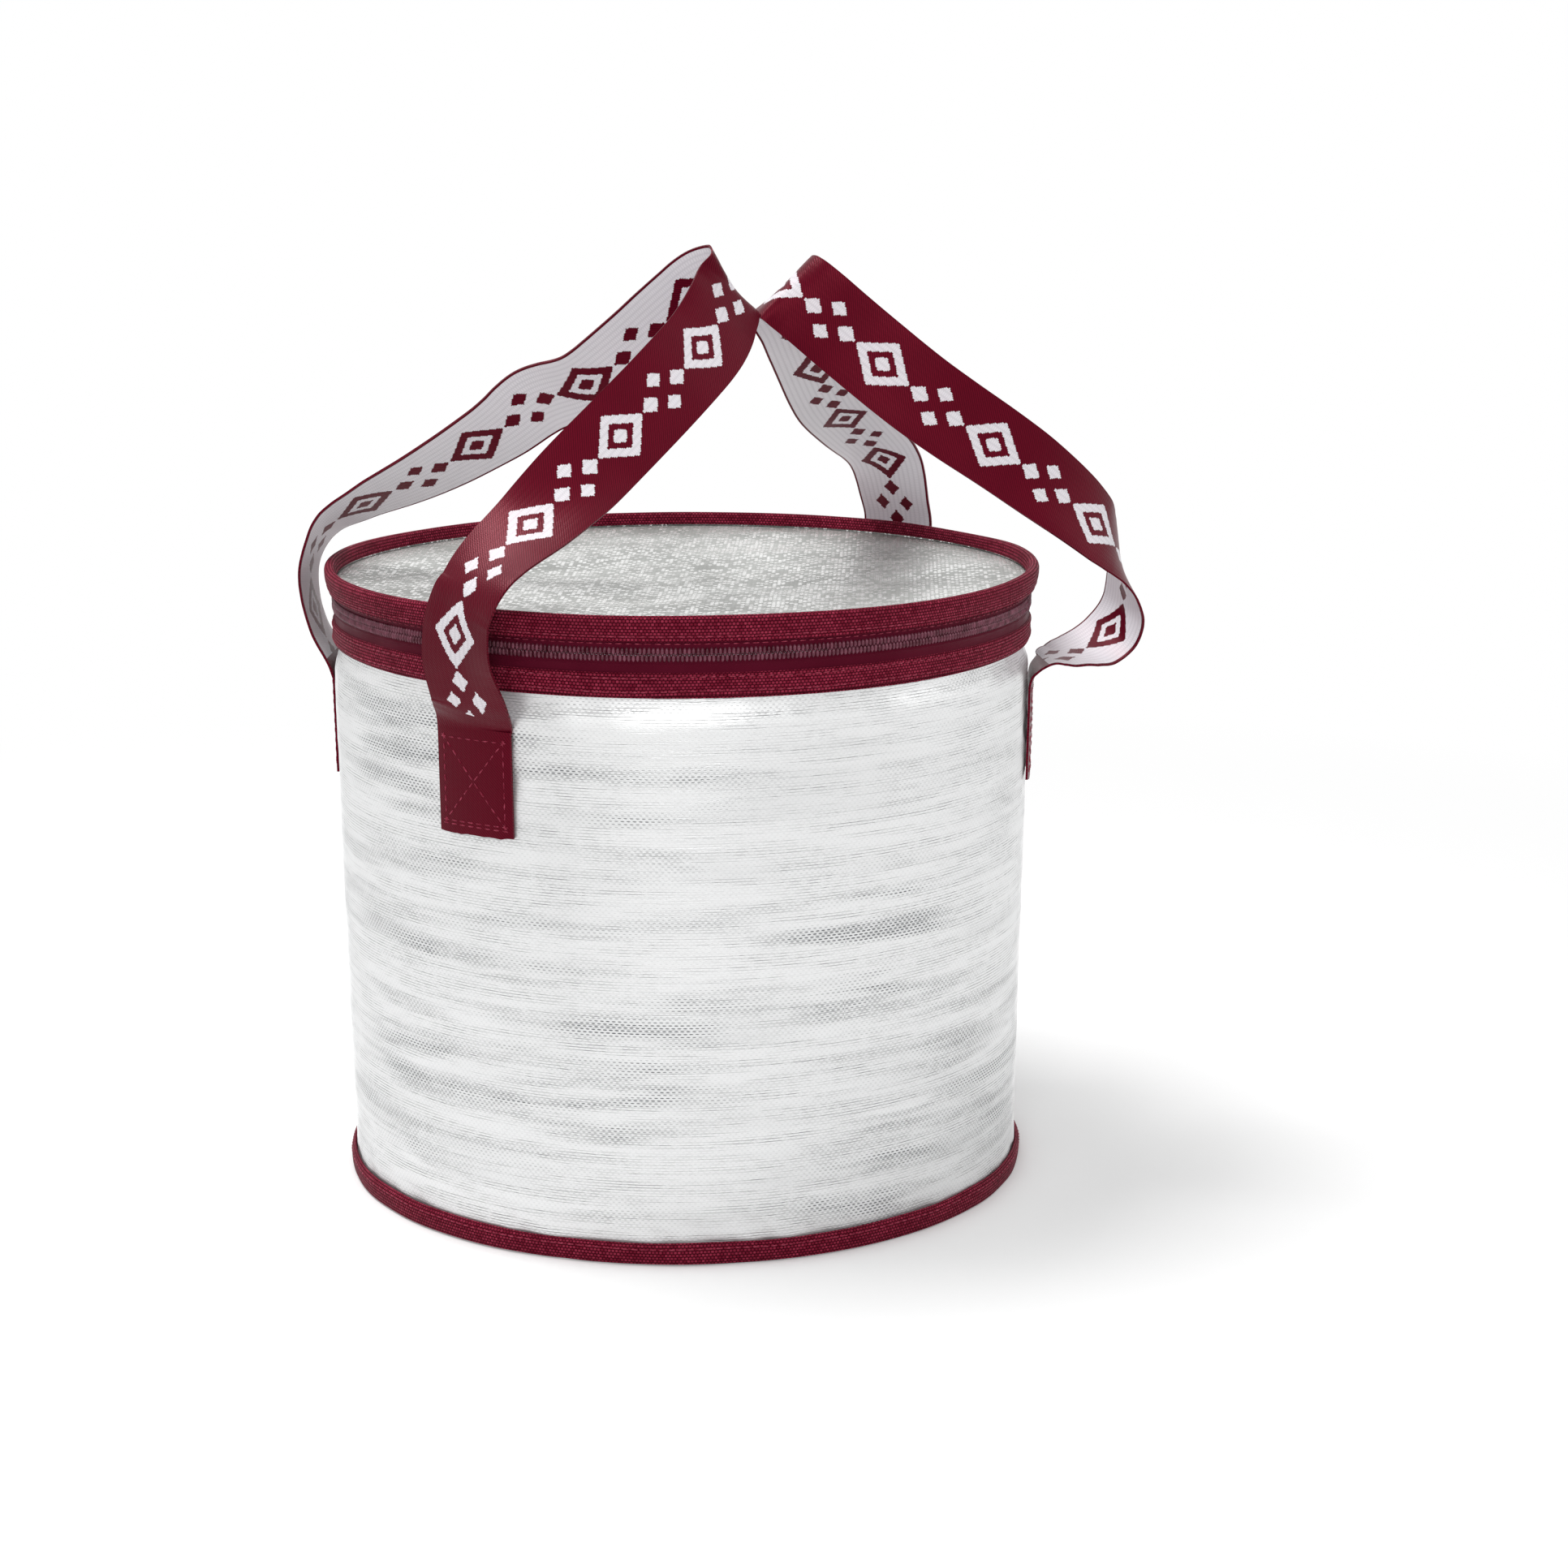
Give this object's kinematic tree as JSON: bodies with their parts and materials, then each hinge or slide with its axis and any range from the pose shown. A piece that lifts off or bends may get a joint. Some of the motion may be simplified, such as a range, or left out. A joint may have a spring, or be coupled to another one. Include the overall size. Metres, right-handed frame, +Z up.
{
  "type": "insulated cooler bag",
  "caption": "Round soft cooler bag with a silver insulated wall, burgundy bindings, a zipped hinged lid and twisted webbing handles.",
  "frame": {"origin": "centre of the base's underside, where the bag stands", "axes": "+Z up along the bag's axis, -Y towards the front, +X towards the right handle, +Y towards the lid's hinge"},
  "size_m": [0.283, 0.2662, 0.348],
  "materials": {
    "silver_skin": "metallised woven laminate, satin",
    "silver_lining": "metallised film, satin",
    "foam": "closed-cell foam, matt",
    "binding": "ribbed grosgrain tape",
    "zip_tape": "woven tape, matt",
    "zip_coil": "moulded coil, satin",
    "zip_metal": "plated, satin",
    "webbing": "satin jacquard webbing"
  },
  "bodies": {
    "bag": {"wall_outer_skin": "silver_skin", "wall_foam": "foam", "wall_lining": "silver_lining", "wall_seam_tape": "silver_lining", "base_outer_skin": "silver_skin", "base_foam": "foam", "base_lining": "silver_lining", "base_binding": "binding", "mouth_binding": "binding", "body_zip_tape": "zip_tape", "body_zip_coil": "zip_coil", "zip_stop_left": "zip_metal", "zip_stop_right": "zip_metal", "hinge_strip": "zip_tape", "strap_end_left_front": "webbing", "strap_end_left_back": "webbing", "strap_end_right_front": "webbing", "strap_end_right_back": "webbing"},
    "lid": {"lid_outer_skin": "silver_skin", "lid_foam": "foam", "lid_lining": "silver_lining", "lid_binding": "binding", "lid_zip_tape": "zip_tape", "lid_zip_coil": "zip_coil"},
    "slider": {"zip_slider": "zip_metal"},
    "pull": {"zip_pull": "zip_metal"},
    "handle_left": {"handle_strap_left": "webbing"},
    "handle_right": {"handle_strap_right": "webbing"}
  },
  "joints": [
    {"name": "lid_hinge", "type": "hinge", "parent": "bag", "child": "lid", "pos_m": [0, 0.1333, 0.2175], "axis": [-1, 0, 0], "range_deg": [0, 170], "deforming": ["hinge_strip", "handle_strap_left", "handle_strap_right"]},
    {"name": "slider_travel", "type": "hinge", "parent": "bag", "child": "slider", "pos_m": [0, 0, 0.2175], "axis": [0, 0, -1], "range_deg": [0, 304]},
    {"name": "pull_flip", "type": "hinge", "parent": "slider", "child": "pull", "pos_m": [0.06228, 0.11712, 0.2175], "axis": [0, 0, 1], "range_deg": [0, 170]},
    {"name": "handle_left_swing", "type": "hinge", "parent": "bag", "child": "handle_left", "pos_m": [-0.128, 0, 0.1863], "axis": [0, -1, 0], "range_deg": [0, 120]},
    {"name": "handle_right_swing", "type": "hinge", "parent": "bag", "child": "handle_right", "pos_m": [0.128, 0, 0.1863], "axis": [0, 1, 0], "range_deg": [0, 120]}
  ]
}
